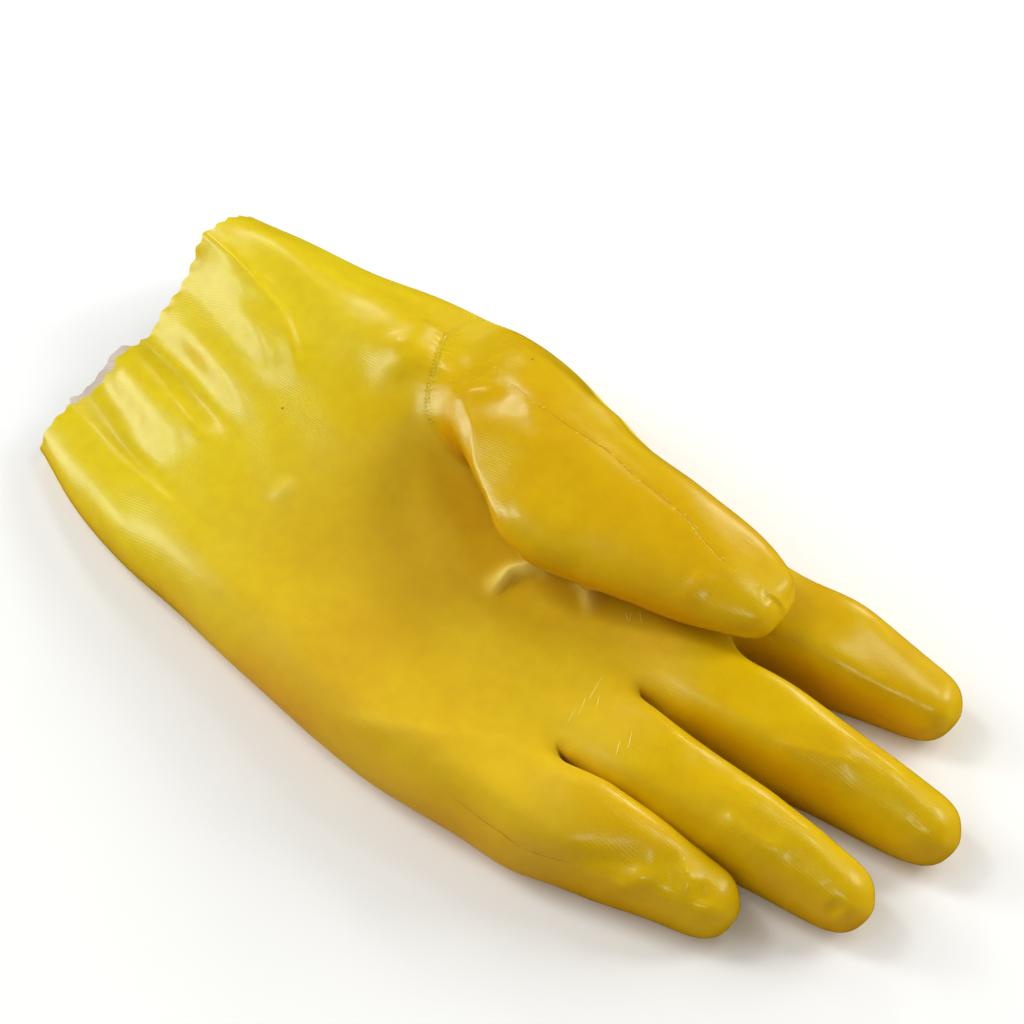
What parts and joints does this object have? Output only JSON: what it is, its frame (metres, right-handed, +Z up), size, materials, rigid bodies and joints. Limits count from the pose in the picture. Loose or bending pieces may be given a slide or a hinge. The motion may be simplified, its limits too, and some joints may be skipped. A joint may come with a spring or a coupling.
{
  "type": "oil-resistant work glove",
  "caption": "Left-hand yellow PVC-dipped cotton work glove, lying palm up on its back with its thumb folded across the palm, hollow and open at its pinked cuff.",
  "frame": {"origin": "middle of the glove's box, on the surface that its back lies on", "axes": "+X from the cuff to the fingertips, +Y to the thumb's side, +Z up from the back of the hand to the palm"},
  "size_m": [0.2738, 0.137, 0.0424],
  "materials": {
    "yellow_coat": "glossy dipped coat over cotton jersey",
    "cotton": "brushed cotton jersey"
  },
  "bodies": {
    "root": {"coated_palm": "yellow_coat", "coated_back": "yellow_coat", "coated_thumb": "yellow_coat", "cotton_lining": "cotton"}
  },
  "joints": []
}
